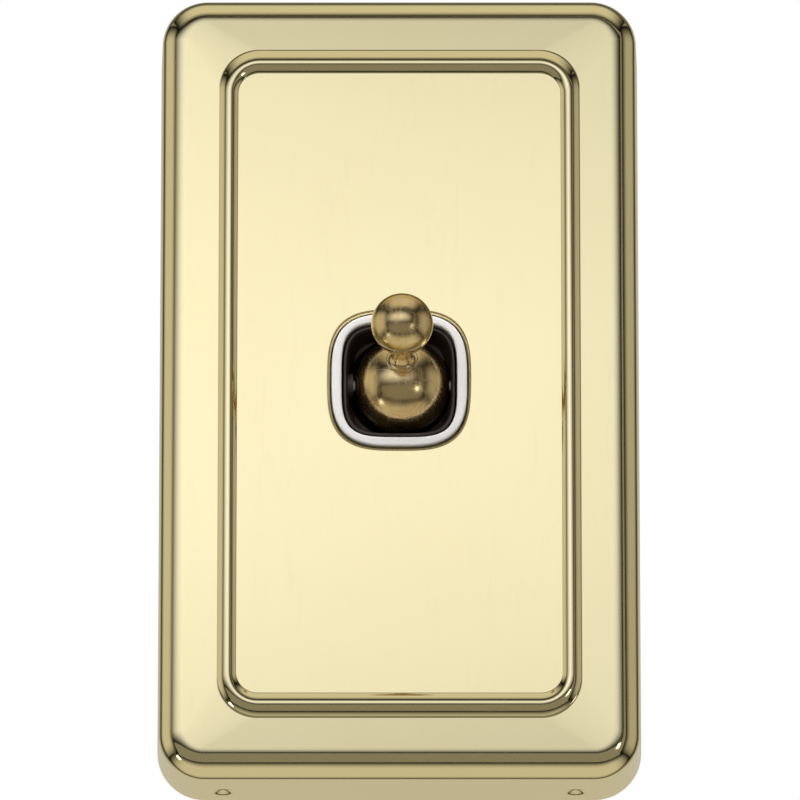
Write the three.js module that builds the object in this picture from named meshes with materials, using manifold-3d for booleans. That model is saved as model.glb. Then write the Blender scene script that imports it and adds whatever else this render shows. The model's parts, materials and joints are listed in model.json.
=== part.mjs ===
// Toggle wall switch: a pressed brass cover on a moulded frame, with a two-way toggle mechanism.
// Every piece is modelled in the switch's face frame: x to the right, y up, z out of the wall, with
// the wall plane at z = 0 and the toggle's centreline through the origin. The last group turns that
// frame so that +Z is up and +Y goes into the wall. Units are millimetres.
import * as THREE from "three";
import { mergeVertices } from "three/addons/utils/BufferGeometryUtils.js";
import Module from "manifold-3d";

// ---- Driving dimensions ----
const GAP = 0.3; // between neighbouring pieces
const PLATE = { width: 70, height: 117.4, depth: 15.5, corner: 7, edge: 3.8, draft: 0.4, sheet: 1 };
const BEAD = { inset: 8.85, crest: 10.45, corner: 6 }; // the raised moulding between border and panel
const PANEL_Z = 15.7;
const HOLE = { x: 10.3, y: 10.55, power: 3.6 };
const COLLAR = { x: 9.8, y: 9.9, power: 3.5, front: 16, round: 0.45 };
const OPENING = { x: 8.35, y: 8.55, power: 4.6 };
const DIMPLE = { x: 25.4, z: 4.7, ball: 2.85, outside: 2.25 };
const PIVOT_Z = 12.1;
const TOGGLE_X = 0.4; // the toggle's side play, taken up to the right
const REST_TILT = 20; // degrees that the knob points up at rest
const BALL_R = 6.93;
const KNOB_R = 4.47;
const KNOB_DISTANCE = 15.5; // centre of the ball to centre of the knob
const PIN_R = 1;
const TAIL = { r: 1.6, bore: 0.95, top: 2.4, end: 12.6 };
const PLUNGER = { r: 0.72, tip: 15.1, top: 9.1 };
const FULCRUM_Z = -4;
const ROCKER_RATIO = 0.4; // the rocker's turn for each degree of the toggle's
const FRAME = { inset: 1.65, floor: 3.2, rim: 8, wall: 1.6, boss: 6, bossR: 5.5 };
const RIB = { half: 0.7, back: 3, front: 5 };
const WELL = { width: 29.6, height: 42.6, corner: 1.6, wall: 0.8 };
const POCKET = { depth: 1.4, corner: 2 };
const FIXING_Y = 42; // half of the 84 mm between the fixing screws
const FIXING_SLOT = { width: 3.9, length: 6.8 };
const APERTURE = { width: 26.2, height: 39.2 };
const CASE = { width: 25.6, height: 38.6, wall: 1.2, back: -16.2, front: 1.9, rib: 0.9 };
const CASE_SCREW = { x: 9.8, y: 16.3 };
const FLANGE = { back: 2.2, front: 3.2 };
const SHOULDER = { width: 21.6, height: 24, corner: 2.5, front: 11.2, chamfer: 0.8 };
const SOCKET = { rim: 15.35, cavityR: 7.7, slotX: 2.4, slotY: 5.8 };
const BLOCK = { width: 5.5, length: 6, front: -8.6 };
const WIRE_R = 1.7;
const CLAMP_Z = -11.5;
const CONTACT_Y = 8;

const CORNER_STEPS = 5; // segments in each rounded corner of an outline
const degrees = (angle) => (angle * Math.PI) / 180;

// ---- Solids ----
const wasm = await Module();
wasm.setup();

function solid(geometry) {
  const bare = geometry.clone();
  bare.deleteAttribute("normal");
  bare.deleteAttribute("uv");
  const merged = mergeVertices(bare, 1e-4);
  const mesh = new wasm.Mesh({
    numProp: 3,
    vertProperties: merged.attributes.position.array,
    triVerts: new Uint32Array(merged.index.array),
  });
  return new wasm.Manifold(mesh);
}

function geometryOf(body) {
  const mesh = body.getMesh();
  const geometry = new THREE.BufferGeometry();
  geometry.setAttribute("position", new THREE.BufferAttribute(new Float32Array(mesh.vertProperties), 3));
  geometry.setIndex(new THREE.BufferAttribute(new Uint32Array(mesh.triVerts), 1));
  return geometry;
}

const join = (...bodies) => bodies.reduce((all, body) => all.add(body));
const cut = (body, ...tools) => tools.reduce((left, tool) => left.subtract(tool), body);

// A box from one corner to the opposite one.
function box([x0, y0, z0], [x1, y1, z1]) {
  const geometry = new THREE.BoxGeometry(x1 - x0, y1 - y0, z1 - z0);
  return solid(geometry.translate((x0 + x1) / 2, (y0 + y1) / 2, (z0 + z1) / 2));
}

// A body turned about the z axis from [radius, z] points that start and end on the axis.
function turned(profile, segments = 24) {
  const points = profile.map(([r, z]) => new THREE.Vector2(r, z));
  return new THREE.LatheGeometry(points, segments).rotateX(Math.PI / 2);
}

// A cylinder along z, from z0 up to z1, as a solid; "x" or "y" lays it along that axis instead.
function rod(radius, z0, z1, at = [0, 0, 0], along = "z", segments = 16) {
  const geometry = turned([[0, z0], [radius, z0], [radius, z1], [0, z1]], segments);
  if (along === "x") geometry.rotateY(Math.PI / 2);
  if (along === "y") geometry.rotateX(-Math.PI / 2);
  return solid(geometry.translate(...at));
}

function ball(radius, at, segments = 24) {
  return solid(new THREE.SphereGeometry(radius, segments, segments / 2).translate(...at));
}

// Points of a rounded rectangle, the same number for every size.
function roundedOutline(width, height, radius) {
  const points = [];
  const centres = [[1, 1, 0], [-1, 1, 90], [-1, -1, 180], [1, -1, 270]];
  for (const [sx, sy, start] of centres) {
    for (let step = 0; step <= CORNER_STEPS; step++) {
      const angle = degrees(start + (90 * step) / CORNER_STEPS);
      const x = sx * (width / 2 - radius) + radius * Math.cos(angle);
      const y = sy * (height / 2 - radius) + radius * Math.sin(angle);
      points.push([x, y]);
    }
  }
  return points;
}

// Points of a square with bowed sides, |x/a|^power + |y/b|^power = 1, matched to roundedOutline.
function bowedOutline(a, b, power) {
  const count = 4 * (CORNER_STEPS + 1);
  return Array.from({ length: count }, (_, index) => {
    const angle = degrees((360 * (index + 0.5)) / count);
    const [c, s] = [Math.cos(angle), Math.sin(angle)];
    const radius = (Math.abs(c / a) ** power + Math.abs(s / b) ** power) ** (-1 / power);
    return [radius * c, radius * s];
  });
}

// A skin through rings [[outline, z], ...], all with the same number of points. It joins the last
// ring back to the first, or closes both ends with a flat cap.
function loft(rings, capped = true) {
  const count = rings[0][0].length;
  const positions = rings.flatMap(([outline, z]) => outline.flatMap(([x, y]) => [x, y, z]));
  const index = [];
  const bands = capped ? rings.length - 1 : rings.length;
  for (let band = 0; band < bands; band++) {
    const [low, high] = [band * count, ((band + 1) % rings.length) * count];
    for (let i = 0; i < count; i++) {
      const next = (i + 1) % count;
      index.push(low + i, low + next, high + i, low + next, high + next, high + i);
    }
  }
  if (capped) {
    const last = (rings.length - 1) * count;
    for (let i = 1; i < count - 1; i++) index.push(0, i + 1, i, last, last + i, last + i + 1);
  }
  const geometry = new THREE.BufferGeometry();
  geometry.setAttribute("position", new THREE.Float32BufferAttribute(positions, 3));
  geometry.setIndex(index);
  return solid(geometry);
}

function roundedBlock(width, height, radius, z0, z1, [x, y] = [0, 0]) {
  const outline = roundedOutline(width, height, radius).map(([px, py]) => [px + x, py + y]);
  return loft([[outline, z0], [outline, z1]]);
}

// A slot along x with round ends.
const slot = (width, length, z0, z1, at) => roundedBlock(length, width, width / 2 - 0.01, z0, z1, at);

// ---- The finished group ----
const face = new THREE.Group();
face.rotation.x = Math.PI / 2;
const toggle = new THREE.Group();
toggle.position.set(TOGGLE_X, 0, PIVOT_Z);
toggle.rotation.x = -degrees(REST_TILT);
const rocker = new THREE.Group();
rocker.position.z = FULCRUM_Z;
rocker.rotation.x = degrees(ROCKER_RATIO * REST_TILT);
face.add(toggle, rocker);

const finish = (color, metalness, roughness) =>
  new THREE.MeshStandardMaterial({ color, metalness, roughness });

function place(group, name, shape, material) {
  const mesh = new THREE.Mesh(shape.isBufferGeometry ? shape : geometryOf(shape), material);
  mesh.name = name;
  group.add(mesh);
}

const polishedBrass = finish(0xead69a, 1, 0.12);
const turnedBrass = finish(0xbf9c5e, 1, 0.3);
const contactBrass = finish(0xb98a4a, 1, 0.4);
const silver = finish(0xd8d6d0, 1, 0.3);
const steel = finish(0xb4b6b8, 1, 0.35);
const whitePlastic = finish(0xf0ece6, 0, 0.4);
const blackPlastic = finish(0x1c1814, 0, 0.45);

// ---- Cover plate ----
// The sheet's section runs from the rim up the wall, round the edge, over the border and the bead to
// the panel. A ring sits at each [inset from the rim, height].
function coverSection(offset) {
  const { depth, corner, edge, draft } = PLATE;
  const ring = (s, z) => {
    const radius = s < BEAD.inset ? Math.max(corner - s, 1) : BEAD.corner - (s - BEAD.inset);
    return [roundedOutline(PLATE.width - 2 * s, PLATE.height - 2 * s, radius), z];
  };
  const rings = [ring(offset, 0)];
  const edgeSteps = offset ? 3 : 5;
  for (let step = 0; step <= edgeSteps; step++) {
    const angle = degrees((90 * step) / edgeSteps);
    const radius = edge - offset;
    rings.push(ring(draft + edge - radius * Math.cos(angle), depth - edge + radius * Math.sin(angle)));
  }
  // The bead's points, [inset, height]; under the sheet they crowd towards the crest.
  const bead = [
    [BEAD.inset, depth], [9.75, depth + 0.65], [BEAD.crest, depth + 0.9],
    [11.1, depth + 0.68], [11.8, PANEL_Z],
  ];
  const crowd = 1 - 0.35 * offset;
  for (const [s, z] of bead) rings.push(ring(BEAD.crest + (s - BEAD.crest) * crowd, z - offset));
  return rings;
}

// The turned-in lip of the hole, from the panel's outside round to its inside.
function lipRings() {
  const lip = (grow, z) => [bowedOutline(HOLE.x + grow, HOLE.y + grow, HOLE.power), z];
  const inner = PANEL_Z - PLATE.sheet;
  const lipZ = inner - 0.4;
  const outside = [lip(0.5, PANEL_Z), lip(0.15, PANEL_Z - 0.12), lip(0, PANEL_Z - 0.45)];
  return [...outside, lip(0, lipZ), lip(0.7, lipZ), lip(1.1, inner)];
}

function coverPlate() {
  const outside = coverSection(0);
  const inside = coverSection(PLATE.sheet).reverse();
  let body = loft([...outside, ...lipRings(), ...inside], false);
  for (const x of [-DIMPLE.x, DIMPLE.x]) {
    for (const side of [-1, 1]) {
      const wall = side * (PLATE.height / 2 - (PLATE.draft * DIMPLE.z) / (PLATE.depth - PLATE.edge));
      const at = [x, wall + side * DIMPLE.outside, DIMPLE.z];
      const [low, high] = [wall, wall - side * 3].sort((a, b) => a - b);
      const inward = box([x - 5, low, 0.3], [x + 5, high, DIMPLE.z + 5]);
      const bump = ball(DIMPLE.ball + PLATE.sheet, at, 16).intersect(inward);
      body = cut(join(body, bump), ball(DIMPLE.ball, at, 16));
    }
  }
  return body;
}
place(face, "cover_plate", coverPlate(), polishedBrass);

// ---- Mounting frame ----
function mountingFrame() {
  const width = PLATE.width - 2 * FRAME.inset;
  const height = PLATE.height - 2 * FRAME.inset;
  const radius = PLATE.corner - FRAME.inset;
  const well = roundedBlock(
    width - 2 * FRAME.wall, height - 2 * FRAME.wall, radius - FRAME.wall, FRAME.floor, FRAME.rim + 1);
  let body = cut(roundedBlock(width, height, radius, 0, FRAME.rim), well);
  const raised = FRAME.floor - 0.5;
  const surround = [WELL.width + 2 * WELL.wall, WELL.height + 2 * WELL.wall, WELL.corner + 0.6];
  body = join(body, roundedBlock(...surround, raised, RIB.front));
  // Ribs run from the well to the walls, and across through both fixing bosses.
  const rib = ([x0, y0], [x1, y1]) => box([x0, y0, RIB.back], [x1, y1, RIB.front]);
  const [wallX, wallY] = [32.2, 55.5];
  body = join(body, rib([-RIB.half, 21], [RIB.half, wallY]), rib([-RIB.half, -wallY], [RIB.half, -21]));
  body = join(body, rib([14, -RIB.half], [wallX, RIB.half]), rib([-wallX, -RIB.half], [-14, RIB.half]));
  for (const y of [-FIXING_Y, FIXING_Y]) {
    const boss = rod(FRAME.bossR, raised, FRAME.boss, [0, y, 0], "z", 20);
    body = join(body, boss, rib([-wallX, y - RIB.half], [wallX, y + RIB.half]));
  }
  const through = [-1, 20];
  const cuts = [
    roundedBlock(APERTURE.width, APERTURE.height, 1.2, ...through),
    roundedBlock(WELL.width, WELL.height, WELL.corner, FRAME.floor, 20),
  ];
  const pocket = (width, height, at) => roundedBlock(width, height, POCKET.corner, -1, POCKET.depth, at);
  for (const side of [-1, 1]) {
    cuts.push(slot(FIXING_SLOT.width, FIXING_SLOT.length, ...through, [0, side * FIXING_Y]));
    cuts.push(pocket(13, 38, [side * 23.2, 0]));
    for (const x of [-19.6, 19.6]) cuts.push(pocket(21, 24, [x, side * 39]));
    for (const x of [-DIMPLE.x, DIMPLE.x]) {
      const centre = side * (PLATE.height / 2 + DIMPLE.outside - 0.15);
      cuts.push(ball(DIMPLE.ball + PLATE.sheet + GAP, [x, centre, DIMPLE.z], 14));
    }
  }
  return cut(body, ...cuts);
}
place(face, "mounting_frame", mountingFrame(), whitePlastic);

// ---- Screws ----
// A pan-head screw along +z with a cross recess; z = 0 is under the head.
function panScrew(headR, headHeight, shankR, length) {
  const dome = [[headR, headHeight * 0.5], [headR * 0.75, headHeight]];
  const tip = [[0, -length], [shankR * 0.6, -length], [shankR, -length + shankR * 0.6]];
  const body = solid(turned([...tip, [shankR, 0], [headR, 0], ...dome, [0, headHeight]], 12));
  const [arm, half, depth] = [headR * 0.56, headR * 0.13, headHeight * 0.45];
  return cut(
    body,
    box([-arm, -half, depth], [arm, half, headHeight + 1]),
    box([-half, -arm, depth], [half, arm, headHeight + 1]),
  );
}

for (const [name, side] of [["top", 1], ["bottom", -1]]) {
  const screw = panScrew(3.1, 2.1, 1.7, 17).translate([0, side * FIXING_Y, FRAME.boss + GAP]);
  place(face, "frame_screw_" + name, screw, steel);
}

const caseCorners = [[1, 1], [-1, 1], [-1, -1], [1, -1]];
caseCorners.forEach(([sx, sy], index) => {
  const screw = panScrew(1.9, 1.3, 1.05, 9).translate([sx * CASE_SCREW.x, sy * CASE_SCREW.y, 5.4]);
  place(face, "housing_screw_" + (index + 1), screw, steel);
});

// ---- Mechanism front with its collar ----
function frontHousing() {
  const ring = (grow, z) => [bowedOutline(COLLAR.x + grow, COLLAR.y + grow, COLLAR.power), z];
  const { front, round } = COLLAR;
  const collar = loft([
    ring(0, 9), ring(0, front - round), ring(-0.12, front - 0.18), ring(-round, front),
  ]);
  const { width, height, corner, chamfer } = SHOULDER;
  const foot = roundedOutline(width, height, corner);
  const top = roundedOutline(width - 2 * chamfer, height - 2 * chamfer, corner);
  const shoulder = loft([[foot, 4.6], [foot, SHOULDER.front - 1.5 * chamfer], [top, SHOULDER.front]]);
  const inner = (grow, z) => [bowedOutline(OPENING.x + grow, OPENING.y + grow, OPENING.power), z];
  const opening = loft([
    inner(0, 1), inner(0, front - round), inner(0.13, front - 0.12), inner(round, front + 0.05),
  ]);
  const holes = caseCorners.map(([sx, sy]) =>
    rod(1.35, 1, 8, [sx * CASE_SCREW.x, sy * CASE_SCREW.y, 0], "z", 12));
  return cut(join(roundedBlock(29, 42, 1.4, 3.5, 5.1), shoulder, collar), opening, ...holes);
}
place(face, "front_housing", frontHousing(), whitePlastic);

// ---- Ball socket: a black dish with a slot for the tail and bearings for the pin ----
function ballSocket() {
  const { rim: rimZ, cavityR, slotX, slotY } = SOCKET;
  const outer = (grow, z) => [bowedOutline(OPENING.x - GAP + grow, OPENING.y - GAP + grow, OPENING.power), z];
  const bowl = loft([
    outer(-2.6, rimZ - 2.7), outer(-1.1, rimZ - 1.6), outer(-0.45, rimZ - 0.6), outer(-0.3, rimZ + 0.2),
  ]);
  const holes = caseCorners.map(([sx, sy]) =>
    rod(1.35, 0, 8, [sx * CASE_SCREW.x, sy * CASE_SCREW.y, 0], "z", 12));
  return cut(
    join(loft([outer(0, 2.8), outer(0, rimZ)]), roundedBlock(25, 38, 1.5, FLANGE.back, FLANGE.front)),
    ball(cavityR, [0, 0, PIVOT_Z], 24),
    rod(cavityR * 0.98, PIVOT_Z, rimZ + 1, [0, 0, 0], "z", 24),
    bowl,
    rod(PIN_R + 0.1, -12, 12, [0, 0, PIVOT_Z], "x"),
    box([-slotX, -slotY, 1], [slotX, slotY, PIVOT_Z - 4]),
    ...holes,
  );
}
place(face, "ball_socket", ballSocket(), blackPlastic);
place(face, "pivot_pin", rod(PIN_R, -7.85, 7.85, [0, 0, PIVOT_Z], "x"), steel);

// ---- Toggle: drawn along its own axis, +z towards the knob, from the pivot ----
function toggleBall() {
  return cut(
    ball(BALL_R, [0, 0, 0], 28),
    rod(1.4, 2.3, BALL_R + 1, [0, 0, 0], "z", 12),
    rod(1.8, -BALL_R - 1, -2.1),
    rod(PIN_R + 0.08, -BALL_R - 1, BALL_R + 1, [0, 0, 0], "x"),
  );
}

function toggleKnob() {
  const neckR = 1.22;
  const footR = 2.3;
  const footZ = Math.sqrt(BALL_R ** 2 - footR ** 2) + 0.08;
  const profile = [[0, 2.6], [1.2, 2.6], [1.2, footZ + 0.42], [footR, footZ], [footR, footZ + 0.15]];
  const flare = footR - neckR;
  for (const angle of [0, 22.5, 45, 67.5, 90].map(degrees)) {
    profile.push([footR - flare * Math.sin(angle), footZ + 0.25 + 1.4 * flare * (1 - Math.cos(angle))]);
  }
  const neckAngle = Math.asin(neckR / KNOB_R);
  const steps = 10;
  for (let step = 0; step <= steps; step++) {
    const angle = neckAngle + ((Math.PI - neckAngle) * step) / steps;
    profile.push([step < steps ? KNOB_R * Math.sin(angle) : 0, KNOB_DISTANCE - KNOB_R * Math.cos(angle)]);
  }
  return turned(profile, 22);
}

function toggleTail() {
  const { r, bore, top, end } = TAIL;
  return turned([
    [0, -4.2], [bore, -4.2], [bore, -end], [r - 0.3, -end], [r, 0.3 - end], [r, -top], [0, -top],
  ], 14);
}

function plunger() {
  const profile = [[0, -PLUNGER.tip]];
  for (const angle of [30, 60, 90].map(degrees)) {
    profile.push([PLUNGER.r * Math.sin(angle), PLUNGER.r * (1 - Math.cos(angle)) - PLUNGER.tip]);
  }
  return turned([...profile, [PLUNGER.r, -PLUNGER.top], [0, -PLUNGER.top]], 12);
}

class Helix extends THREE.Curve {
  constructor(radius, z0, z1, turns) {
    super();
    Object.assign(this, { radius, z0, z1, turns });
  }
  getPoint(t, target = new THREE.Vector3()) {
    const angle = 2 * Math.PI * this.turns * t;
    const z = this.z0 + (this.z1 - this.z0) * t;
    return target.set(this.radius * Math.cos(angle), this.radius * Math.sin(angle), z);
  }
}

function wireSection(radius) {
  const shape = new THREE.Shape();
  for (let side = 0; side < 5; side++) {
    const angle = degrees(72 * side);
    const point = [radius * Math.cos(angle), radius * Math.sin(angle)];
    if (side === 0) shape.moveTo(...point);
    else shape.lineTo(...point);
  }
  return shape;
}

function plungerSpring() {
  const [wireR, turns, stepsPerTurn] = [0.13, 5, 8];
  return new THREE.ExtrudeGeometry(wireSection(wireR), {
    steps: turns * stepsPerTurn,
    extrudePath: new Helix(0.7, 0.2 - PLUNGER.top, -4.5, turns),
    bevelEnabled: false,
  });
}

place(toggle, "toggle_ball", toggleBall(), turnedBrass);
place(toggle, "toggle_knob", toggleKnob(), turnedBrass);
place(toggle, "toggle_tail", toggleTail(), contactBrass);
place(toggle, "plunger", plunger(), steel);
place(toggle, "plunger_spring", plungerSpring(), steel);

// ---- Rocker: drawn level about the fulcrum ----
// The plunger's tip sweeps this path in the rocker's frame as the toggle swings from its middle.
function troughPoint(swing, clearance) {
  const turn = ROCKER_RATIO * swing;
  const reach = PLUNGER.tip - PLUNGER.r;
  const y = reach * Math.sin(swing);
  const z = PIVOT_Z - FULCRUM_Z - reach * Math.cos(swing);
  const level = [y * Math.cos(turn) - z * Math.sin(turn), y * Math.sin(turn) + z * Math.cos(turn)];
  return [level[0], level[1] - clearance];
}

function rockerContact() {
  const [sheet, halfWidth, armEnd] = [0.9, 2.6, 9.4];
  const swings = [-24, -16, -8, 0, 8, 16, 24].map(degrees);
  const trough = swings.map((swing) => troughPoint(swing, PLUNGER.r + 0.2));
  const armZ = trough[0][1];
  const top = [[-armEnd, armZ], ...trough, [armEnd, armZ]];
  const shape = new THREE.Shape();
  shape.moveTo(...top[0]);
  top.slice(1).forEach(([y, z]) => shape.lineTo(y, z));
  [...top].reverse().forEach(([y, z]) => shape.lineTo(y, z - sheet));
  const geometry = new THREE.ExtrudeGeometry(shape, { depth: 2 * halfWidth, bevelEnabled: false });
  geometry.translate(0, 0, -halfWidth);
  // The outline's x and y become y and z, and its depth runs along x.
  geometry.applyMatrix4(new THREE.Matrix4().makeBasis(
    new THREE.Vector3(0, 1, 0), new THREE.Vector3(0, 0, 1), new THREE.Vector3(1, 0, 0)));
  return { geometry, underArm: armZ - sheet };
}

const moving = rockerContact();
place(rocker, "rocker_contact", moving.geometry, contactBrass);
for (const [name, side] of [["upper", 1], ["lower", -1]]) {
  const tip = turned([[0, -1], [0.7, -0.92], [1.2, -0.7], [1.3, -0.05], [0, -0.05]], 12);
  place(rocker, "rocker_tip_" + name, tip.translate(0, side * CONTACT_Y, moving.underArm), silver);
}

// ---- Terminals ----
// A clamp block with a blind wire hole from behind and a screw hole that faces +y.
function clampBlock() {
  const back = CASE.back + CASE.wall + 0.2;
  const half = BLOCK.width / 2;
  return cut(
    box([-BLOCK.length / 2, -half, back], [BLOCK.length / 2, half, BLOCK.front]),
    rod(WIRE_R, back - 1, BLOCK.front - 1),
    rod(1.35, 0, half + 1, [0, 0, CLAMP_Z], "y", 12),
  );
}

function contactTerminal(side) {
  const y = 14.9;
  const strip = box([-2.2, 6.4, -6.3], [2.2, y, -5.5]);
  const riser = box([-2.2, y - 2.7, BLOCK.front - 0.5], [2.2, y - 1.9, -5.5]);
  const body = join(clampBlock().translate([0, y, 0]), strip, riser);
  return side > 0 ? body : body.rotate([0, 0, 180]);
}

// The common terminal carries the knife edge that the rocker sits on, between two cheeks.
function commonTerminal() {
  const edge = new THREE.Shape();
  edge.moveTo(-1.3, -7.9);
  edge.lineTo(1.3, -7.9);
  edge.lineTo(0.12, FULCRUM_Z - 0.62);
  edge.lineTo(-0.12, FULCRUM_Z - 0.62);
  edge.closePath();
  const knife = new THREE.ExtrudeGeometry(edge, { depth: 4.4, bevelEnabled: false }).translate(0, 0, -2.2);
  knife.applyMatrix4(new THREE.Matrix4().makeBasis(
    new THREE.Vector3(0, 1, 0), new THREE.Vector3(0, 0, 1), new THREE.Vector3(1, 0, 0)));
  const cheeks = [-1, 1].map((side) => box([side * 3.3 - 0.4, -1.6, -8.2], [side * 3.3 + 0.4, 1.6, -3]));
  const strip = box([-3.7, -2.2, -8.6], [8, 2.2, -7.8]);
  return join(clampBlock().rotate([0, 0, -90]).translate([8.2, 0, 0]), strip, solid(knife), ...cheeks);
}

place(face, "common_terminal", commonTerminal(), contactBrass);
place(face, "upper_terminal", contactTerminal(1), contactBrass);
place(face, "lower_terminal", contactTerminal(-1), contactBrass);
place(face, "loop_terminal", clampBlock().rotate([0, 0, 90]).translate([-8.2, 0, 0]), contactBrass);

for (const [name, side] of [["upper", 1], ["lower", -1]]) {
  const tip = turned([[0, 0.05], [1.4, 0.05], [1.4, 0.5], [1.1, 0.62], [0, 0.62]], 12);
  place(face, "fixed_tip_" + name, tip.translate(0, side * CONTACT_Y, -5.5), silver);
}

// Each clamp screw's head sits in the access hole of the nearest wall.
const clampScrews = [["upper", 0, 17.85], ["lower", 180, 17.85], ["common", -90, 11.15], ["loop", 90, 11.15]];
for (const [name, turn, reach] of clampScrews) {
  const screw = panScrew(1.65, 1.2, 1.15, 1.9).rotate([-90, 0, 0]).translate([0, reach, CLAMP_Z]);
  place(face, "terminal_screw_" + name, screw.rotate([0, 0, turn]), steel);
}

// ---- Rear housing: an open box with corner posts, wire entries and screw access holes ----
function rearHousing() {
  const { width, height, wall, back, front } = CASE;
  const hollow = roundedBlock(width - 2 * wall, height - 2 * wall, 0.6, back + wall, front + 1);
  let body = cut(roundedBlock(width, height, 1.5, back, front), hollow);
  const cuts = [];
  for (const [sx, sy] of caseCorners) {
    const at = [sx * CASE_SCREW.x, sy * CASE_SCREW.y, 0];
    body = join(body, rod(2.3, back + 0.5, front, at));
    cuts.push(rod(1.3, -6, front + 1, at, "z", 12));
  }
  // Barrier ribs part the wires on the back, and each entry has a funnel mouth.
  body = join(
    body,
    box([-0.5, -7.6, back - CASE.rib], [0.5, 7.6, back + 0.2]),
    ...[-7.6, 7.6].map((y) => box([-11.6, y - 0.5, back - CASE.rib], [11.6, y + 0.5, back + 0.2])),
  );
  for (const [x, y] of [[0, 14.9], [0, -14.9], [8.2, 0], [-8.2, 0]]) {
    const mouthR = WIRE_R + 0.15;
    const funnel = [[0, back - 0.1], [mouthR + 1, back - 0.1], [mouthR, back + 0.9], [0, back + 0.9]];
    cuts.push(rod(mouthR, back - 1, back + wall + 1, [x, y, 0]));
    cuts.push(solid(turned(funnel, 16).translate(x, y, 0)));
  }
  for (const side of [-1, 1]) {
    const ends = [side * (width / 2 - 2), side * (width / 2 + 1)].sort((a, b) => a - b);
    cuts.push(rod(1.9, ...ends, [0, 0, CLAMP_Z], "x"));
    cuts.push(box([ends[0], -2.3, -5.3], [ends[1], 2.3, -4]));
    const tops = [side * (height / 2 - 2), side * (height / 2 + 1)].sort((a, b) => a - b);
    cuts.push(rod(1.9, ...tops, [0, 0, CLAMP_Z], "y"));
  }
  return cut(body, ...cuts);
}
place(face, "rear_housing", rearHousing(), blackPlastic);

// ---- Spring clips: hooked in the case's side, with a foot behind the frame ----
function mechClip() {
  const [inner, sheet, half] = [CASE.width / 2 + 0.15, 0.5, 4];
  return join(
    box([inner, -half, -7.6], [inner + sheet, half, -0.35]),
    box([inner, -half, -0.85], [inner + 3.6, half, -0.35]),
    box([inner + 3.1, -half, -1.6], [inner + 3.6, half, -0.35]),
    box([inner - 1.1, -2, -4.9], [inner + 0.2, 2, -4.4]),
  );
}
place(face, "mech_clip_right", mechClip(), steel);
place(face, "mech_clip_left", mechClip().rotate([0, 0, 180]), steel);

const assembly = new THREE.Group();
assembly.add(face);
export default assembly;
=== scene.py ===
"""Looks of the toggle wall switch: fine meshes, materials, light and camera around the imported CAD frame.

Pieces are drawn in the switch's face frame in millimetres, x to the right, y up and z out of the wall,
and turned into the row frame in metres when their mesh is made.
"""
import json
import math

import bmesh
import bpy
from mathutils import Matrix, Vector


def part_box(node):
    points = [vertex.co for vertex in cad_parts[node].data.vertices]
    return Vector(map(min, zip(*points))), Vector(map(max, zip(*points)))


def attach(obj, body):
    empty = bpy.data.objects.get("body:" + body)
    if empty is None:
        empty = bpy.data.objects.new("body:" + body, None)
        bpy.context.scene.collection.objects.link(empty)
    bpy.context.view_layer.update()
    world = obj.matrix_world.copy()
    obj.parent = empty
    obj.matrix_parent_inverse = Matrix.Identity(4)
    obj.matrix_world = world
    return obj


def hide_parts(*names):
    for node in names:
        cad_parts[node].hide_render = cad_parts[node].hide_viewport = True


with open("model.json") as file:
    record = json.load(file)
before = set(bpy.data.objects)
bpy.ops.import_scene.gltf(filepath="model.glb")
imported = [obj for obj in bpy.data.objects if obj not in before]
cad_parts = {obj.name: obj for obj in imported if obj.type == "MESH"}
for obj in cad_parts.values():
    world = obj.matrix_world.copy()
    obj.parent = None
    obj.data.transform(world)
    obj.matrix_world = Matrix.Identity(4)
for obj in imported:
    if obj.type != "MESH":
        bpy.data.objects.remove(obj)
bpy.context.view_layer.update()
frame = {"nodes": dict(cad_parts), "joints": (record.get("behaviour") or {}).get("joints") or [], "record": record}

MM = 0.001
HOUSING, TOGGLE = "housing", "toggle"


# ---- Places from the frame ----
def face_box(node):
    """A node's lowest and highest corners in the face frame, in millimetres."""
    low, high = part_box(node)
    return Vector((low[0], low[2], -high[1])) / MM, Vector((high[0], high[2], -low[1])) / MM


def joint(name):
    return next(j for j in frame["joints"] if j["name"] == name)


cover_high = face_box("cover_plate")[1]
pivot = joint("toggle_pivot")["pos_m"]
slide = joint("plunger_slide")["axis"]
knob_low, knob_high = face_box("toggle_knob")
collar_top = face_box("front_housing")[1].z

PLATE_W = cover_high.x * 2
PLATE_H = cover_high.y * 2
BORDER_Z = 15.5
PANEL_Z = 15.7
CREST_Z = cover_high.z
SHEET = 1.0
CORNER_R = 7.0
EDGE_R = 3.8
DRAFT = 0.4
BEAD_INSET = 8.85
BEAD_CORNER = 6.0
HOLE_X, HOLE_Y, HOLE_POWER = 10.02, 10.14, 3.2
COLLAR_X, COLLAR_Y, COLLAR_POWER = 9.8, 9.9, 3.2
OPENING_X, OPENING_Y, OPENING_POWER = 8.35, 8.55, 4.0
PIVOT_Z = -pivot[1] / MM
TILT = math.atan2(slide[2], -slide[1])
TOGGLE_X = (knob_low.x + knob_high.x) / 2
BALL_R = 6.93
KNOB_R = 4.47
KNOB_DISTANCE = 15.5
PIN_R = 1.0
SOCKET_RIM = face_box("ball_socket")[1].z
CAVITY_R = 7.7
FIXING_Y = 42.0
CASE_SCREW_X, CASE_SCREW_Y = 9.8, 16.3
DIMPLE_X, DIMPLE_Z, DIMPLE_R, DIMPLE_DEPTH = 25.4, 4.7, 1.9, 0.62
SOCKET_GAP = 0.3
BEAD_SIDES = {"x": 2.7, "y": 3.45}  # how wide the bead is along the long and the short sides
BORDER_FALL = math.radians(2)  # the border slopes away from the bead
DOME = 0.5  # how much lower the front is at its ends than across its middle
BOSS_R = 1.8  # black bosses round the pin, clear of the ball
BOSS_CLEAR = 0.15
WELD_GAP = 1e-6  # metres, to join the seams that the frame file leaves between faces


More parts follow.
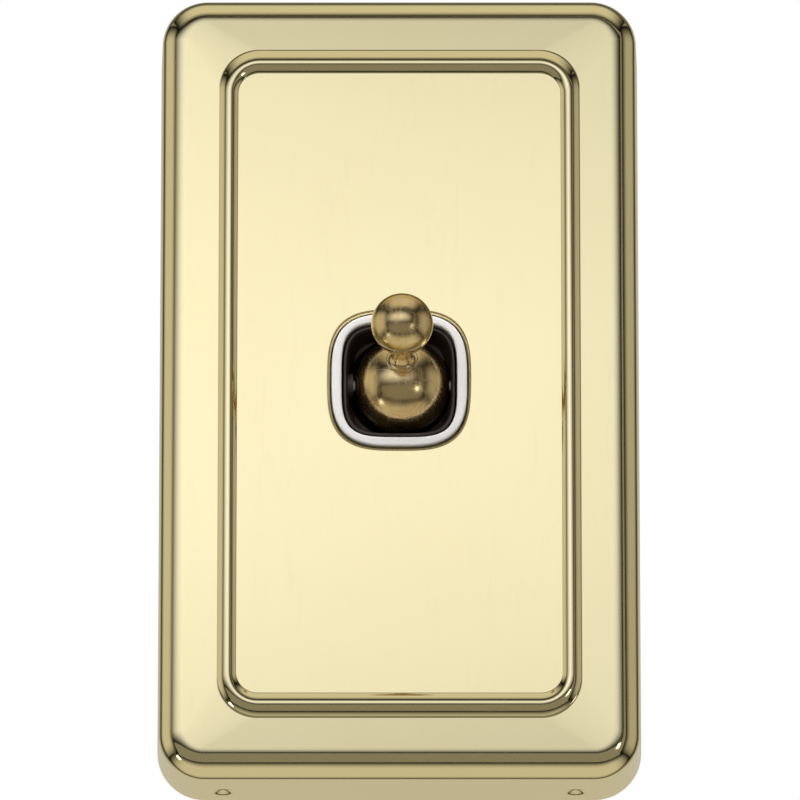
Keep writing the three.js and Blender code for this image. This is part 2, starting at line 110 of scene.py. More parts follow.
# ---- Mesh helpers ----
def to_row(point):
    return Vector((point[0], -point[2], point[1])) * MM


def toggle_frame():
    """From a point on the toggle's own axis frame, +z towards the knob, to the face frame."""
    return Matrix.Translation((TOGGLE_X, 0, PIVOT_Z)) @ Matrix.Rotation(-TILT, 4, "X")


def new_object(name, bm, transform=None, smooth_angle=35):
    """An object from a bmesh drawn in face millimetres, with smooth shading up to the given angle."""
    if transform is not None:
        bm.transform(transform)
    for vertex in bm.verts:
        vertex.co = to_row(vertex.co)
    bmesh.ops.recalc_face_normals(bm, faces=bm.faces)
    mesh = bpy.data.meshes.new(name)
    bm.to_mesh(mesh)
    bm.free()
    mesh.polygons.foreach_set("use_smooth", [True] * len(mesh.polygons))
    mesh.set_sharp_from_angle(angle=math.radians(smooth_angle))
    obj = bpy.data.objects.new(name, mesh)
    bpy.context.collection.objects.link(obj)
    return obj


def weigh_normals(obj):
    modifier = obj.modifiers.new("weighted normals", "WEIGHTED_NORMAL")
    modifier.keep_sharp = True
    modifier.weight = 80
    return obj


def bevel(obj, width, segments=3, angle=30, harden=False):
    modifier = obj.modifiers.new("bevel", "BEVEL")
    modifier.width = width * MM
    modifier.segments = segments
    modifier.limit_method = "ANGLE"
    modifier.angle_limit = math.radians(angle)
    modifier.harden_normals = harden
    return obj


def ring_loft(rings, closed=False, cap_start=True, cap_end=True):
    """A bmesh skin through rings of points, all of the same length. A closed one joins last to first."""
    bm = bmesh.new()
    rows = [[bm.verts.new(point) for point in ring] for ring in rings]
    count = len(rows[0])
    pairs = list(zip(rows, rows[1:]))
    if closed:
        pairs.append((rows[-1], rows[0]))
    for low, high in pairs:
        for i in range(count):
            j = (i + 1) % count
            bm.faces.new((low[i], low[j], high[j], high[i]))
    if not closed and cap_start:
        bm.faces.new(rows[0][::-1])
    if not closed and cap_end:
        bm.faces.new(rows[-1])
    return bm


def lathe(profile, segments=96, at=(0, 0, 0)):
    """A bmesh turned about z from [radius, z] points that start and end on the axis."""
    bm = bmesh.new()
    start = bm.verts.new((at[0], at[1], at[2] + profile[0][1]))
    end = bm.verts.new((at[0], at[1], at[2] + profile[-1][1]))
    rows = []
    for radius, z in profile[1:-1]:
        row = []
        for i in range(segments):
            angle = 2 * math.pi * i / segments
            x, y = radius * math.cos(angle), radius * math.sin(angle)
            row.append(bm.verts.new((at[0] + x, at[1] + y, at[2] + z)))
        rows.append(row)
    for i in range(segments):
        j = (i + 1) % segments
        bm.faces.new((start, rows[0][j], rows[0][i]))
        bm.faces.new((end, rows[-1][i], rows[-1][j]))
        for low, high in zip(rows, rows[1:]):
            bm.faces.new((low[i], low[j], high[j], high[i]))
    return bm


def arc(cx, cz, radius, start, end, steps):
    """Points [x, z] on an arc, angles in degrees from the +x axis."""
    points = []
    for step in range(steps + 1):
        angle = math.radians(start + (end - start) * step / steps)
        points.append((cx + radius * math.cos(angle), cz + radius * math.sin(angle)))
    return points


def rounded_outline(width, height, radius, corner_steps=14, long_steps=30, short_steps=18):
    """Points of a rounded rectangle, the same number for every size, counted round from +x."""
    points = []
    corners = [(1, 1, 0), (-1, 1, 90), (-1, -1, 180), (1, -1, 270)]
    for index, (sx, sy, start) in enumerate(corners):
        cx, cy = sx * (width / 2 - radius), sy * (height / 2 - radius)
        for step in range(corner_steps + 1):
            angle = math.radians(start + 90 * step / corner_steps)
            points.append(Vector((cx + radius * math.cos(angle), cy + radius * math.sin(angle))))
        following = corners[(index + 1) % 4]
        nx, ny = following[0] * (width / 2 - radius), following[1] * (height / 2 - radius)
        next_angle = math.radians(following[2])
        target = Vector((nx + radius * math.cos(next_angle), ny + radius * math.sin(next_angle)))
        steps = short_steps if index % 2 == 0 else long_steps
        last = points[-1].copy()
        for step in range(1, steps):
            points.append(last.lerp(target, step / steps))
    return points


def bowed_outline(a, b, power, like):
    """As many points as another outline has, at equal angles, on |x/a|^power + |y/b|^power = 1."""
    points = []
    count = len(like)
    for index in range(count):
        angle = math.radians(360 * index / count)
        c, s = math.cos(angle), math.sin(angle)
        radius = (abs(c / a) ** power + abs(s / b) ** power) ** (-1 / power)
        points.append(Vector((radius * c, radius * s)))
    return points


def at_height(outline, z):
    return [(p.x, p.y, z) for p in outline]


def boolean(obj, cutters, operation="DIFFERENCE"):
    """Cuts or joins other objects into obj and removes them."""
    for cutter in cutters:
        modifier = obj.modifiers.new("cut", "BOOLEAN")
        modifier.object = cutter
        modifier.operation = operation
        modifier.solver = "EXACT"
    depsgraph = bpy.context.evaluated_depsgraph_get()
    mesh = bpy.data.meshes.new_from_object(obj.evaluated_get(depsgraph))
    obj.modifiers.clear()
    obj.data = mesh
    for cutter in cutters:
        bpy.data.objects.remove(cutter, do_unlink=True)
    return obj


def block(x0, x1, y0, y1, z0, z1):
    """A cutter or a plain bar between two corners, in face millimetres."""
    bm = bmesh.new()
    bmesh.ops.create_cube(bm, size=1)
    scale = Matrix.Diagonal((x1 - x0, y1 - y0, z1 - z0, 1))
    bm.transform(Matrix.Translation(((x0 + x1) / 2, (y0 + y1) / 2, (z0 + z1) / 2)) @ scale)
    return bm


def rod(radius, z0, z1, at=(0, 0), segments=48):
    return lathe([(0, z0), (radius, z0), (radius, z1), (0, z1)], segments, (at[0], at[1], 0))


# ---- Materials ----
class Nodes:
    """Short calls for a material's node tree."""

    def __init__(self, name):
        self.material = bpy.data.materials.new(name)
        self.material.use_nodes = True
        self.tree = self.material.node_tree
        self.shader = self.tree.nodes["Principled BSDF"]

    def add(self, kind, **values):
        node = self.tree.nodes.new(kind)
        for key, value in values.items():
            if key in node.inputs:
                node.inputs[key].default_value = value
            else:
                setattr(node, key.lower(), value)
        return node

    def link(self, source, target):
        self.tree.links.new(source, target)

    def noise(self, scale, detail=4.0, roughness=0.55, stretch=(1, 1, 1), coordinates="Object"):
        place = self.add("ShaderNodeTexCoord")
        mapping = self.add("ShaderNodeMapping")
        mapping.inputs["Scale"].default_value = stretch
        self.link(place.outputs[coordinates], mapping.inputs["Vector"])
        texture = self.add("ShaderNodeTexNoise", Scale=scale, Detail=detail, Roughness=roughness)
        self.link(mapping.outputs[0], texture.inputs["Vector"])
        return texture.outputs["Fac"]

    def ramp(self, source, stops):
        node = self.add("ShaderNodeValToRGB")
        ramp = node.color_ramp
        while len(ramp.elements) < len(stops):
            ramp.elements.new(0.5)
        for element, (position, color) in zip(ramp.elements, stops):
            element.position = position
            element.color = color if len(color) == 4 else (*color, 1)
        self.link(source, node.inputs[0])
        return node.outputs[0]

    def spread(self, source, low, high, from_low=0.0, from_high=1.0):
        node = self.add("ShaderNodeMapRange")
        node.inputs["From Min"].default_value = from_low
        node.inputs["From Max"].default_value = from_high
        node.inputs["To Min"].default_value = low
        node.inputs["To Max"].default_value = high
        self.link(source, node.inputs["Value"])
        return node.outputs[0]

    def math(self, operation, a, b):
        node = self.add("ShaderNodeMath")
        node.operation = operation
        for socket, value in zip(node.inputs, (a, b)):
            if isinstance(value, (int, float)):
                socket.default_value = value
            else:
                self.link(value, socket)
        return node.outputs[0]

    def bump(self, height, strength, distance, after=None):
        node = self.add("ShaderNodeBump")
        node.inputs["Strength"].default_value = strength
        node.inputs["Distance"].default_value = distance
        self.link(height, node.inputs["Height"])
        if after is not None:
            self.link(after, node.inputs["Normal"])
        return node.outputs["Normal"]

    def set(self, **values):
        for key, value in values.items():
            self.shader.inputs[key.replace("_", " ")].default_value = value


def scratches(nodes, scale, stretch, width=0.035):
    """Thin streaks where a stretched noise crosses its middle value: 1 on a streak, 0 between."""
    fac = nodes.noise(scale, 2.0, 0.5, stretch)
    offset = nodes.math("ABSOLUTE", nodes.math("SUBTRACT", fac, 0.5), 0.0)
    return nodes.spread(offset, 1.0, 0.0, 0.0, width)


def polished_brass():
    nodes = Nodes("polished brass")
    nodes.set(Metallic=1.0, IOR=1.5)
    broad = nodes.noise(22, 3.0, 0.5)
    color = nodes.ramp(broad, [(0.3, (0.92, 0.815, 0.46)), (0.7, (0.94, 0.84, 0.49))])
    nodes.link(color, nodes.shader.inputs["Base Color"])
    lapping = nodes.noise(900, 3.0, 0.6, (1, 1, 0.06))
    mottle = nodes.noise(160, 4.0, 0.6)
    haze = nodes.math("ADD", nodes.spread(lapping, 0.0, 0.03), nodes.spread(mottle, 0.05, 0.1))
    fine = scratches(nodes, 260, (1.0, 1.0, 0.12), 0.012)
    haze = nodes.math("ADD", haze, nodes.math("MULTIPLY", fine, 0.04))
    nodes.link(haze, nodes.shader.inputs["Roughness"])
    waves = nodes.bump(nodes.noise(55, 2.0, 0.4), 0.22, 0.00006)
    nodes.link(nodes.bump(lapping, 0.1, 0.000004, waves), nodes.shader.inputs["Normal"])
    return nodes.material


def turned_brass():
    nodes = Nodes("turned brass")
    nodes.set(Metallic=1.0, IOR=1.5)
    broad = nodes.noise(260, 5.0, 0.6)
    worn, common, bright = (0.74, 0.54, 0.25), (0.84, 0.65, 0.33), (0.90, 0.74, 0.42)
    color = nodes.ramp(broad, [(0.3, worn), (0.55, common), (0.8, bright)])
    nodes.link(color, nodes.shader.inputs["Base Color"])
    mottle = nodes.noise(420, 6.0, 0.65)
    cross = scratches(nodes, 330, (1.0, 1.0, 0.2), 0.03)
    along = scratches(nodes, 300, (0.18, 1.0, 1.0), 0.025)
    marks = nodes.math("MAXIMUM", cross, along)
    haze = nodes.math("ADD", nodes.spread(mottle, 0.13, 0.27), nodes.math("MULTIPLY", marks, 0.1))
    nodes.link(haze, nodes.shader.inputs["Roughness"])
    dents = nodes.bump(nodes.noise(700, 4.0, 0.6), 0.4, 0.00004)
    nodes.link(nodes.bump(marks, 0.5, 0.00001, dents), nodes.shader.inputs["Normal"])
    return nodes.material


def contact_brass():
    nodes = Nodes("contact brass")
    nodes.set(Metallic=1.0, IOR=1.5)
    color = nodes.ramp(nodes.noise(180, 5.0, 0.6), [(0.25, (0.52, 0.33, 0.14)), (0.75, (0.74, 0.53, 0.28))])
    nodes.link(color, nodes.shader.inputs["Base Color"])
    grain = nodes.noise(1500, 3.0, 0.6, (1, 0.15, 0.15))
    nodes.link(nodes.spread(grain, 0.26, 0.48), nodes.shader.inputs["Roughness"])
    nodes.link(nodes.bump(grain, 0.3, 0.00001), nodes.shader.inputs["Normal"])
    return nodes.material


def silver():
    nodes = Nodes("silver")
    nodes.set(Metallic=1.0, IOR=1.5)
    color = nodes.ramp(nodes.noise(400, 4.0, 0.6), [(0.3, (0.72, 0.70, 0.66)), (0.7, (0.86, 0.85, 0.82))])
    nodes.link(color, nodes.shader.inputs["Base Color"])
    nodes.link(nodes.spread(nodes.noise(1200, 3.0, 0.6), 0.22, 0.4), nodes.shader.inputs["Roughness"])
    return nodes.material


def steel():
    nodes = Nodes("zinc plated steel")
    nodes.set(Metallic=1.0, IOR=1.5)
    color = nodes.ramp(nodes.noise(240, 5.0, 0.6), [(0.25, (0.50, 0.51, 0.52)), (0.75, (0.68, 0.69, 0.70))])
    nodes.link(color, nodes.shader.inputs["Base Color"])
    grain = nodes.noise(1600, 4.0, 0.65)
    nodes.link(nodes.spread(grain, 0.24, 0.42), nodes.shader.inputs["Roughness"])
    nodes.link(nodes.bump(grain, 0.2, 0.000008), nodes.shader.inputs["Normal"])
    return nodes.material


def white_plastic():
    nodes = Nodes("white plastic")
    nodes.set(IOR=1.5)
    color = nodes.ramp(nodes.noise(90, 4.0, 0.6), [(0.3, (0.86, 0.85, 0.825)), (0.7, (0.90, 0.89, 0.87))])
    nodes.link(color, nodes.shader.inputs["Base Color"])
    texture = nodes.noise(2600, 3.0, 0.6)
    nodes.link(nodes.spread(texture, 0.3, 0.42), nodes.shader.inputs["Roughness"])
    nodes.link(nodes.bump(texture, 0.12, 0.00001), nodes.shader.inputs["Normal"])
    return nodes.material


def black_plastic():
    nodes = Nodes("black phenolic")
    nodes.set(IOR=1.55)
    dark, pale = (0.018, 0.013, 0.010), (0.045, 0.033, 0.026)
    color = nodes.ramp(nodes.noise(320, 6.0, 0.65), [(0.3, dark), (0.75, pale)])
    nodes.link(color, nodes.shader.inputs["Base Color"])
    texture = nodes.noise(1800, 4.0, 0.6)
    nodes.link(nodes.spread(texture, 0.32, 0.5), nodes.shader.inputs["Roughness"])
    nodes.link(nodes.bump(texture, 0.2, 0.00002), nodes.shader.inputs["Normal"])
    return nodes.material


MATERIALS = {
    "polished_brass": polished_brass(),
    "turned_brass": turned_brass(),
    "contact_brass": contact_brass(),
    "silver": silver(),
    "steel": steel(),
    "white_plastic": white_plastic(),
    "black_plastic": black_plastic(),
}
SLOT_OF = {part["node"]: part["material_slot"] for part in frame["record"]["subparts"]}


def install(obj, body, *nodes):
    """Gives a finished piece its material and its body, and hides the CAD nodes that it stands for."""
    slot = SLOT_OF[nodes[0]]
    obj.data.materials.clear()
    obj.data.materials.append(MATERIALS[slot])
    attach(obj, body)
    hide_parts(*nodes)
    return obj


# ---- Cover plate ----


def bead_profile():
    """[share of the bead's width, height over the border] from the border to the panel."""
    drop = CREST_Z - PANEL_Z
    rise = CREST_Z - BORDER_Z
    points = []
    for step in range(19):
        t = step / 18
        # A steep rise with a tight foot, then a soft crest.
        points.append((0.56 * t, rise * (1 - (1 - t) ** 1.9) if t > 0 else 0.0))
    for step in range(1, 17):
        t = step / 16
        # A convex fall with a tight foot at the panel.
        foot = t ** 1.75
        points.append((0.56 + 0.44 * t, rise - drop * foot))
    return points


def cover_outline(inset_x, inset_y, radius):
    return rounded_outline(PLATE_W - 2 * inset_x, PLATE_H - 2 * inset_y, radius)


def border_height(s):
    return BORDER_Z - (BEAD_INSET - s) * math.tan(BORDER_FALL)


def cover_skin(offset):
    """Rings of the sheet's outside (offset 0) or inside (offset 1) from the rim to the bead's end."""
    rings = []
    radius = EDGE_R - offset
    for height in (0, 0.35, 4, 8):
        lean = offset + DRAFT * height / (border_height(DRAFT + EDGE_R) - EDGE_R)
        rings.append(at_height(cover_outline(lean, lean, CORNER_R - lean), height))
    start, end = DRAFT + EDGE_R, BEAD_INSET
    for s, z in arc(start, border_height(start) - EDGE_R, radius, 180, 90, 18):
        rings.append(at_height(cover_outline(s, s, max(CORNER_R - s, 2.4)), z))
    for share in (0.04, 0.15, 0.35, 0.5, 0.65, 0.85, 0.96, 1.0):
        s = start + (end - start) * share
        corner = 2.8 + (BEAD_CORNER - 2.8) * share
        rings.append(at_height(cover_outline(s, s, corner), border_height(s) - offset))
    for across, rise in bead_profile()[1:]:
        inset_x = BEAD_INSET + across * BEAD_SIDES["x"]
        inset_y = BEAD_INSET + across * BEAD_SIDES["y"]
        corner = BEAD_CORNER - across * 2.9
        rings.append(at_height(cover_outline(inset_x, inset_y, corner), BORDER_Z - offset + rise))
    return rings


def panel_rings(z):
    """Rings that turn the panel's rounded rectangle into the hole's bowed square."""
    edge = cover_outline(BEAD_INSET + BEAD_SIDES["x"], BEAD_INSET + BEAD_SIDES["y"], BEAD_CORNER - 2.9)
    hole = bowed_outline(HOLE_X + 1.4, HOLE_Y + 1.4, HOLE_POWER, edge)
    rings = []
    for share in (0.003, 0.02, 0.06, 0.15, 0.3, 0.5, 0.7, 0.85, 0.95, 1.0):
        rings.append(at_height([e.lerp(h, share) for e, h in zip(edge, hole)], z))
    return rings


def lip_rings():
    like = cover_outline(1, 1, 6)
    rings = []
    bend = 0.5
    edge = bend + 0.06
    rings.append(at_height(bowed_outline(HOLE_X + edge, HOLE_Y + edge, HOLE_POWER, like), PANEL_Z))
    for dx, z in arc(bend, PANEL_Z - bend, bend, 90, 180, 8):
        rings.append(at_height(bowed_outline(HOLE_X + dx, HOLE_Y + dx, HOLE_POWER, like), z))
    under = PANEL_Z - SHEET
    turned_in = ((0, -0.3), (0.06, -0.38), (0.66, -0.38), (0.72, -0.3), (1.1, 0))
    for grow, z in ((grow, under + down) for grow, down in turned_in):
        rings.append(at_height(bowed_outline(HOLE_X + grow, HOLE_Y + grow, HOLE_POWER, like), z))
    return rings


def dimple(vertex, side, x):
    """Presses a round dimple into an end wall around its place."""
    centre = Vector((x, DIMPLE_Z))
    distance = (Vector((vertex.co.x, vertex.co.z)) - centre).length
    if distance < DIMPLE_R:
        vertex.co.y -= side * DIMPLE_DEPTH * (0.5 + 0.5 * math.cos(math.pi * distance / DIMPLE_R))


def make_cover():
    outside = cover_skin(0)
    inside = cover_skin(SHEET)[::-1]
    inner_panel = panel_rings(PANEL_Z - SHEET)[::-1]
    bm = ring_loft([*outside, *panel_rings(PANEL_Z), *lip_rings(), *inner_panel, *inside], closed=True)
    for side in (-1, 1):
        for x in (-DIMPLE_X, DIMPLE_X):
            region = [
                f for f in bm.faces
                if abs(f.calc_center_median().x - x) < 4.5 and 0.3 < f.calc_center_median().z < 9
                and side * f.calc_center_median().y > PLATE_H / 2 - 2.2
            ]
            edges = list({e for f in region for e in f.edges})
            bmesh.ops.subdivide_edges(bm, edges=edges, cuts=7, use_grid_fill=True)
            for vertex in bm.verts:
                if side * vertex.co.y > PLATE_H / 2 - 2.4 and abs(vertex.co.x - x) < 4 and vertex.co.z < 9:
                    dimple(vertex, side, x)
    for vertex in bm.verts:
        vertex.co.z -= DOME * (2 * vertex.co.y / PLATE_H) ** 2 * vertex.co.z / BORDER_Z
    cover = new_object("brass_cover", bm, smooth_angle=50)
    return weigh_normals(cover)


install(make_cover(), HOUSING, "cover_plate")


# ---- Front housing with its collar ----
def make_front_housing():
    like = cover_outline(1, 1, 6)
    top = collar_top
    round_r = 0.3

    def outer(grow, z):
        return at_height(bowed_outline(COLLAR_X + grow, COLLAR_Y + grow, COLLAR_POWER, like), z)

    def inner(grow, z):
        return at_height(bowed_outline(OPENING_X + grow, OPENING_Y + grow, OPENING_POWER, like), z)

    rings = [outer(0, 10.4), outer(0, top - 2)]
    for dx, z in arc(-round_r, top - round_r, round_r, 0, 90, 8):
        rings.append(outer(dx, z))
    for dx, z in arc(0.32, top - 0.32, 0.32, 90, 180, 6):
        rings.append(inner(dx, z))
    rings += [inner(0, top - 2), inner(0, 8), inner(0, 3.5)]
    base = lambda w, h, r, z: at_height(rounded_outline(w, h, r), z)
    rings += [base(25, 38, 1.2, 3.5), base(29, 42, 1.4, 3.5)]
    rings += [base(29, 42, 1.4, 5.1), base(21.6, 24, 2.5, 5.1)]
    rings += [base(21.6, 24, 2.5, 9.9), base(20, 22.4, 2.5, 11.2)]
    body = new_object("collar_housing", ring_loft(rings, closed=True))
    cutters = []
    for sx in (-1, 1):
        for sy in (-1, 1):
            cutters.append(new_object("hole", rod(1.35, 1, 8, (sx * CASE_SCREW_X, sy * CASE_SCREW_Y))))
    boolean(body, cutters)
    body.data.set_sharp_from_angle(angle=math.radians(40))
    return weigh_normals(body)


# ---- Toggle ----
def make_ball():
    hole_r = 1.4
    hole_angle = math.degrees(math.asin(hole_r / BALL_R))
    profile = [(0, 2.4), (hole_r, 2.4)]
    profile += [(x, z) for x, z in arc(0, 0, BALL_R, 90 - hole_angle, -90 + 15.2, 72)]
    profile += [(1.8, -2.2), (0, -2.2)]
    ball = new_object("turned_ball", lathe(profile, 128), toggle_frame(), 40)
    across = toggle_frame() @ Matrix.Rotation(math.pi / 2, 4, "Y")
    pin_hole = new_object("pin_hole", rod(PIN_R + 0.08, -9, 9), across)
    boolean(ball, [pin_hole])
    ball.data.set_sharp_from_angle(angle=math.radians(40))
    return ball


def make_knob():
    neck_r, foot_r = 1.22, 2.3
    foot_z = math.sqrt(BALL_R ** 2 - foot_r ** 2) + 0.06
    flare = foot_r - neck_r
    neck_angle = math.degrees(math.asin(neck_r / KNOB_R))
    profile = [(0, 2.6), (1.2, 2.6), (1.2, foot_z + 0.42), (foot_r - 0.06, foot_z), (foot_r, foot_z + 0.06)]
    profile.append((foot_r, foot_z + 0.2))
    profile.append((foot_r - 0.08, foot_z + 0.28))
    for step in range(13):
        angle = math.pi / 2 * step / 12
        radius = foot_r - 0.1 - (flare - 0.1) * math.sin(angle)
        profile.append((radius, foot_z + 0.3 + 1.45 * flare * (1 - math.cos(angle))))
    profile += arc(0, KNOB_DISTANCE, KNOB_R, -90 + neck_angle, 89.2, 64)
    profile.append((0, KNOB_DISTANCE + KNOB_R))
    return new_object("turned_knob", lathe(profile, 128), toggle_frame(), 40)


install(make_front_housing(), HOUSING, "front_housing")
install(make_ball(), TOGGLE, "toggle_ball")
install(make_knob(), TOGGLE, "toggle_knob")


# ---- Ball socket ----


def make_socket():
    like = cover_outline(1, 1, 6)

    def outer(grow, z):
        inset = grow - SOCKET_GAP
        return at_height(bowed_outline(OPENING_X + inset, OPENING_Y + inset, OPENING_POWER, like), z)

    rim = SOCKET_RIM
    rings = [outer(0, 2.4), outer(0, rim - 0.1), outer(-0.1, rim)]
    rings += [outer(-0.3, rim), outer(-0.45, rim - 0.25), outer(-0.6, rim - 1.6), outer(-0.8, rim - 3.2)]
    rings += [outer(-1.3, rim - 4.2), outer(-2.2, rim - 4.6), outer(-3.4, rim - 4.8)]
    body = new_object("black_socket", ring_loft(rings))
    flange = new_object("flange", ring_loft([at_height(rounded_outline(25, 38, 1.5), z) for z in (2.2, 3.2)]))
    boolean(body, [flange], "UNION")
    steps = 40
    sphere = [(0, -CAVITY_R)] + arc(0, 0, CAVITY_R, -88, 22, steps) + [(CAVITY_R * 0.93, 8), (0, 8)]
    cutters = [
        new_object("cavity", lathe(sphere, 96, (0, 0, PIVOT_Z))),
        new_object("slot", block(-2.4, 2.4, -5.8, 5.8, 1, PIVOT_Z - 4)),
    ]
    for sx in (-1, 1):
        for sy in (-1, 1):
            cutters.append(new_object("hole", rod(1.35, 0, 8, (sx * CASE_SCREW_X, sy * CASE_SCREW_Y))))
    across = Matrix.Translation((0, 0, PIVOT_Z)) @ Matrix.Rotation(math.pi / 2, 4, "Y")
    boolean(body, cutters)
    bosses = [
        new_object("boss", rod(BOSS_R, TOGGLE_X + BALL_R + BOSS_CLEAR, CAVITY_R + 0.3), across),
        new_object("boss", rod(BOSS_R, -CAVITY_R - 0.3, TOGGLE_X - BALL_R - BOSS_CLEAR), across),
    ]
    boolean(body, bosses, "UNION")
    boolean(body, [new_object("bearing", rod(PIN_R + 0.1, -12, 12), across)])
    body.data.set_sharp_from_angle(angle=math.radians(35))
    return bevel(body, 0.12, 2, 40)


install(make_socket(), HOUSING, "ball_socket")


# ---- Screws ----
def screw_profile(head_r, head_h, shank_r, length, pitch):
    """Half section of a pan-head screw with a threaded shank; z = 0 is under the head."""
    profile = [(0, -length), (shank_r * 0.5, -length + 0.05)]
    root = shank_r - pitch * 0.42
    z = -length + shank_r * 0.5
    while z < -pitch * 1.2:
        profile += [(root, z), (root, z + pitch * 0.2)]
        profile += [(shank_r, z + pitch * 0.5), (shank_r, z + pitch * 0.6)]
        z += pitch
    profile += [(root, z), (root, -0.15), (root + 0.12, 0), (head_r - 0.08, 0), (head_r, 0.08)]
    for step in range(13):
        angle = math.pi / 2 * step / 12
        radius = head_r * math.cos(angle) ** 0.55 if step < 12 else 0.0
        profile.append((radius, head_h * 0.42 + head_h * 0.58 * math.sin(angle)))
    return profile


def make_screw(name, node, axis_turn, centre, head_r, head_h, shank_r, length, pitch):
    screw = new_object(name, lathe(screw_profile(head_r, head_h, shank_r, length, pitch), 48))
    arm, half, depth = head_r * 0.56, head_r * 0.12, head_h * 0.4
    cross = []
    for turn in (0, math.pi / 2):
        bm = block(-arm, arm, -half, half, depth, head_h + 1)
        for vertex in bm.verts:
            if vertex.co.z < head_h:
                vertex.co.x *= 0.45
        cross.append(new_object("cross", bm, Matrix.Rotation(turn, 4, "Z")))
    boolean(screw, cross)
    place = Matrix.Translation(to_row(centre)) @ axis_turn
    screw.data.transform(place)
    screw.data.set_sharp_from_angle(angle=math.radians(38))
    return install(screw, HOUSING, node)


OUT = Matrix.Identity(4)
for label, side in (("top", 1), ("bottom", -1)):
    centre = (0, side * FIXING_Y, 6.3)
    make_screw("fixing_screw_" + label, "frame_screw_" + label, OUT, centre, 3.1, 2.1, 1.7, 17, 0.6)
for index, (sx, sy) in enumerate(((1, 1), (-1, 1), (-1, -1), (1, -1))):
    centre = (sx * CASE_SCREW_X, sy * CASE_SCREW_Y, 5.4)
    make_screw(f"case_screw_{index + 1}", f"housing_screw_{index + 1}", OUT, centre, 1.9, 1.3, 1.05, 9, 0.45)


# ---- CAD nodes that keep their shape ----
EASED = {
    "mounting_frame": 0.25, "rear_housing": 0.3, "pivot_pin": 0.12, "toggle_tail": 0.12, "plunger": 0.1,
    "rocker_contact": 0.12, "rocker_tip_upper": 0.1, "rocker_tip_lower": 0.1, "common_terminal": 0.15,
    "upper_terminal": 0.15, "lower_terminal": 0.15, "loop_terminal": 0.15, "fixed_tip_upper": 0.1,
    "fixed_tip_lower": 0.1, "mech_clip_right": 0.15, "mech_clip_left": 0.15, "terminal_screw_upper": 0.08,
    "terminal_screw_lower": 0.08, "terminal_screw_common": 0.08, "terminal_screw_loop": 0.08,
    "plunger_spring": 0.0,
}
for node, width in EASED.items():
    obj = frame["nodes"][node]
    obj.data.materials.clear()
    obj.data.materials.append(MATERIALS[SLOT_OF[node]])
    weld = obj.modifiers.new("weld", "WELD")
    weld.merge_threshold = WELD_GAP
    if width:
        bevel(obj, width, 2, 28, harden=True)


# ---- Camera ----
PITCH = math.radians(15)  # how far below the plate's normal the camera looks from
DISTANCE = 1.5
VIEW_WIDTH = 0.1168
camera_data = bpy.data.cameras.new("camera")
camera = bpy.data.objects.new("camera", camera_data)
bpy.context.collection.objects.link(camera)
target = Vector((0.0001, 0, 0.0012))
camera.location = target + Vector((0, -math.cos(PITCH), -math.sin(PITCH))) * DISTANCE
camera.rotation_euler = (target - camera.location).to_track_quat("-Z", "Y").to_euler()
camera_data.sensor_width = 36
camera_data.lens = 36 * DISTANCE / VIEW_WIDTH
camera_data.clip_start = 0.01
camera_data.clip_end = 20
bpy.context.scene.camera = camera


# ---- Light ----
def area_light(name, place, size, power, color=(1, 1, 1), aim=(0, 0, 0), shape="RECTANGLE"):
    data = bpy.data.lights.new(name, "AREA")
    data.shape = shape
    data.size, data.size_y = size
    data.energy = power
    data.color = color
    light = bpy.data.objects.new(name, data)
    light.location = place
    light.rotation_euler = (Vector(aim) - Vector(place)).to_track_quat("-Z", "Y").to_euler()
    light.visible_camera = False
    bpy.context.collection.objects.link(light)
    return light


PANEL_FADE = 0.35  # the share of a panel's width over which its glow fades to its edge
SOFTBOX_FADE = 0.5  # the softbox is brightest only along its middle
COOL = (0.97, 0.98, 1.06)
LAMP_SIZE, LAMP_POWER = (0.06, 0.06), 0.03
WARM = (1.0, 0.95, 0.82)


def light_panel(name, place, width, height, strength, color, fade_share=PANEL_FADE):
    """A flat diffusing panel that faces the switch, brightest in the middle and fading to its edges."""
    bm = bmesh.new()
    bmesh.ops.create_grid(bm, x_segments=1, y_segments=1, size=0.5)
    bmesh.ops.scale(bm, vec=(width, height, 1), verts=bm.verts)
    mesh = bpy.data.meshes.new(name)
    bm.to_mesh(mesh)
    bm.free()
    panel = bpy.data.objects.new(name, mesh)
    panel.location = place
    panel.rotation_euler = (-Vector(place)).to_track_quat("Z", "Y").to_euler()
    bpy.context.collection.objects.link(panel)

    material = bpy.data.materials.new(name)
    material.use_nodes = True
    tree = material.node_tree
    tree.nodes.clear()
    place_on = tree.nodes.new("ShaderNodeTexCoord")
    split = tree.nodes.new("ShaderNodeSeparateXYZ")
    tree.links.new(place_on.outputs["Generated"], split.inputs[0])
    glow = tree.nodes.new("ShaderNodeMath")
    glow.operation = "MULTIPLY"
    for index, axis in enumerate("XY"):
        edge = tree.nodes.new("ShaderNodeMath")
        edge.operation = "PINGPONG"
        edge.inputs[1].default_value = 0.5
        tree.links.new(split.outputs[axis], edge.inputs[0])
        fade = tree.nodes.new("ShaderNodeMapRange")
        fade.interpolation_type = "SMOOTHSTEP"
        fade.inputs["From Max"].default_value = fade_share
        tree.links.new(edge.outputs[0], fade.inputs["Value"])
        tree.links.new(fade.outputs["Result"], glow.inputs[index])
    scaled = tree.nodes.new("ShaderNodeMath")
    scaled.operation = "MULTIPLY"
    scaled.inputs[1].default_value = strength
    tree.links.new(glow.outputs[0], scaled.inputs[0])
    emission = tree.nodes.new("ShaderNodeEmission")
    emission.inputs["Color"].default_value = (*color, 1)
    tree.links.new(scaled.outputs[0], emission.inputs["Strength"])
    output = tree.nodes.new("ShaderNodeOutputMaterial")
    tree.links.new(emission.outputs[0], output.inputs[0])
    mesh.materials.append(material)
    panel.visible_camera = False
    panel.visible_shadow = False


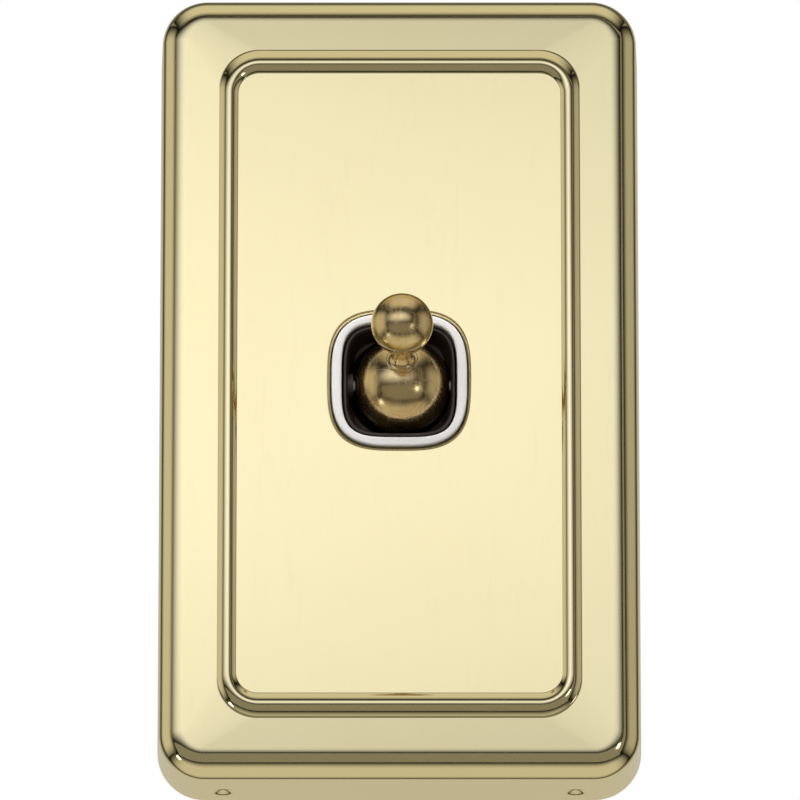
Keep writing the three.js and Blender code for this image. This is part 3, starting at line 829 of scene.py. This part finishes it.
def studio_room(brightness):
    """A plain dim room, white where the camera looks past the switch."""
    world = bpy.data.worlds.new("studio room")
    bpy.context.scene.world = world
    world.use_nodes = True
    tree = world.node_tree
    room = tree.nodes["Background"]
    room.inputs["Color"].default_value = (*WARM, 1)
    room.inputs["Strength"].default_value = brightness
    backdrop = tree.nodes.new("ShaderNodeBackground")
    backdrop.inputs["Color"].default_value = (1, 1, 1, 1)
    path = tree.nodes.new("ShaderNodeLightPath")
    mix = tree.nodes.new("ShaderNodeMixShader")
    tree.links.new(path.outputs["Is Camera Ray"], mix.inputs[0])
    tree.links.new(room.outputs[0], mix.inputs[1])
    tree.links.new(backdrop.outputs[0], mix.inputs[2])
    tree.links.new(mix.outputs[0], tree.nodes["World Output"].inputs["Surface"])


studio_room(0.24)
light_panel("softbox", (-0.2, -1.0, 0.27), 2.8, 1.0, 1.15, COOL, fade_share=SOFTBOX_FADE)
light_panel("overhead_panel", (0, -0.2, 1.1), 2.4, 1.8, 0.65, WARM)
light_panel("left_panel", (-1.3, 0, 0.1), 2.0, 2.0, 0.6, WARM)
light_panel("right_panel", (1.3, 0, 0.1), 2.0, 2.0, 0.42, WARM)
light_panel("table_glow", (0, 0.05, -0.6), 2.4, 1.3, 0.6, WARM)
light_panel("backdrop_glow", (0, 1.0, 0), 3.0, 3.0, 0.55, WARM)
area_light("lamp_right", (0.25, -0.33, -0.12), LAMP_SIZE, LAMP_POWER)
area_light("lamp_low_left", (-0.31, -0.12, -0.27), LAMP_SIZE, LAMP_POWER)
fill = area_light("front_fill", (-0.1, -0.42, 0.2), (0.3, 0.3), 0.8)
fill.visible_glossy = False
sky = bpy.data.lights.new("sky_fill", "SUN")
sky.energy = 2.6
sky.angle = math.radians(60)
sky_lamp = bpy.data.objects.new("sky_fill", sky)
sky_lamp.rotation_euler = (math.radians(25), 0, 0)
sky_lamp.visible_glossy = False
bpy.context.collection.objects.link(sky_lamp)


# ---- Floor ----
def make_floor():
    bm = bmesh.new()
    bmesh.ops.create_grid(bm, x_segments=1, y_segments=1, size=4)
    bm.transform(Matrix.Translation((0, 0, -0.9)))
    mesh = bpy.data.meshes.new("floor")
    bm.to_mesh(mesh)
    bm.free()
    floor = bpy.data.objects.new("floor", mesh)
    bpy.context.collection.objects.link(floor)
    nodes = Nodes("pale floor")
    color = nodes.ramp(nodes.noise(3, 3.0, 0.5), [(0.3, (0.84, 0.84, 0.83)), (0.7, (0.88, 0.88, 0.87))])
    nodes.link(color, nodes.shader.inputs["Base Color"])
    nodes.set(Roughness=0.8)
    mesh.materials.append(nodes.material)
    floor.visible_glossy = False
    floor.visible_diffuse = False
    floor.visible_shadow = False


make_floor()

bpy.context.scene.view_settings.view_transform = "Standard"
